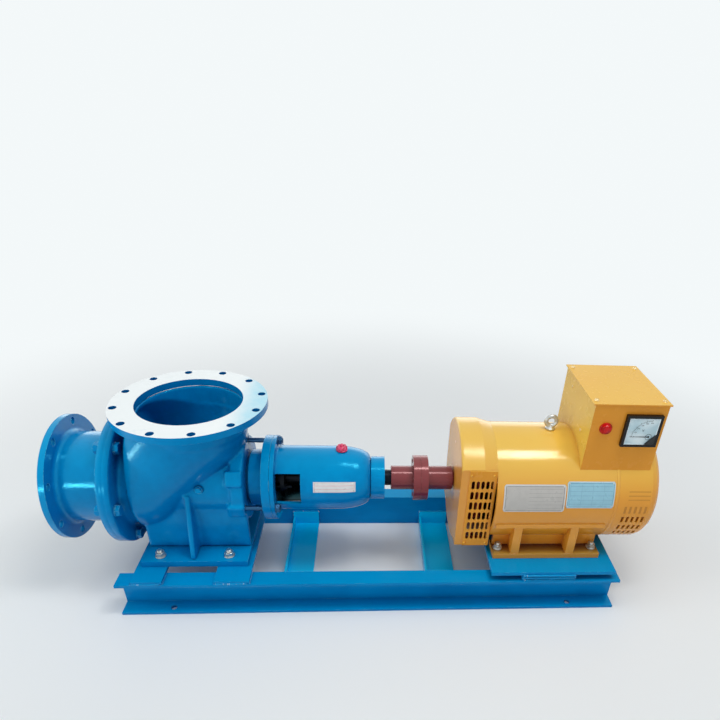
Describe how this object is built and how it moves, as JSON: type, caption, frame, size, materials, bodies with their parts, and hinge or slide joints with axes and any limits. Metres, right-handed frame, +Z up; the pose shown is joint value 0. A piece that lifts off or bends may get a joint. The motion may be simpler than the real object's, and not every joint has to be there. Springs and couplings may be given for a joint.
{
  "type": "micro hydroelectric generator set",
  "caption": "Elbow tubular water turbine coupled through a bearing bracket to a small alternator with a control box, on one welded steel skid.",
  "frame": {"origin": "centre of the four anchor holes, on the floor", "axes": "+X along the shaft from turbine to alternator, +Y to the rear, +Z up"},
  "size_m": [1.783, 0.5, 0.68],
  "materials": {
    "blue_paint": "gloss enamel",
    "flange_paint": "pale machined face, blue rim",
    "zinc_steel": "zinc plated",
    "shaft_steel": "turned",
    "runner_metal": "cast",
    "oxide_paint": "red oxide primer",
    "ochre_paint": "semi-gloss enamel",
    "red_plastic": "gloss",
    "black_plastic": "satin",
    "bare_plate": "satin"
  },
  "bodies": {
    "set": {"skid_front_beam": "blue_paint", "skid_rear_beam": "blue_paint", "cross_member_left": "blue_paint", "cross_member_right": "blue_paint", "turbine_bearer_left": "blue_paint", "turbine_bearer_right": "blue_paint", "alternator_bed_plate": "blue_paint", "bed_plate_packers": "blue_paint", "turbine_foot_plate": "blue_paint", "elbow_casing": "blue_paint", "inlet_flange": "flange_paint", "runner_chamber": "blue_paint", "chamber_bolts": "zinc_steel", "casing_plug": "blue_paint", "turbine_foot_bolts": "zinc_steel", "stuffing_box": "blue_paint", "tie_studs": "zinc_steel", "gland": "zinc_steel", "bearing_bracket": "blue_paint", "bearing_end_cover": "blue_paint", "oil_filler_plug": "red_plastic", "bracket_label_plate": "bare_plate", "drive_end_shield": "ochre_paint", "louvre_cover_front": "ochre_paint", "louvre_cover_rear": "ochre_paint", "alternator_frame": "ochre_paint", "alternator_foot_front": "ochre_paint", "alternator_foot_rear": "ochre_paint", "alternator_foot_bolts": "zinc_steel", "rear_end_shield": "ochre_paint", "control_box": "ochre_paint", "control_box_lid": "ochre_paint", "indicator_lamp": "red_plastic", "voltmeter": "black_plastic", "rating_plates": "bare_plate", "lifting_eye": "zinc_steel"},
    "shaft_line": {"turbine_shaft": "shaft_steel", "runner": "runner_metal", "coupling_half_turbine": "oxide_paint", "coupling_half_alternator": "oxide_paint", "coupling_pins": "zinc_steel", "alternator_rotor": "shaft_steel"}
  },
  "joints": [
    {"name": "shaft_spin", "type": "hinge", "parent": "set", "child": "shaft_line", "pos_m": [0, 0, 0.34], "axis": [1, 0, 0], "continuous": true}
  ]
}
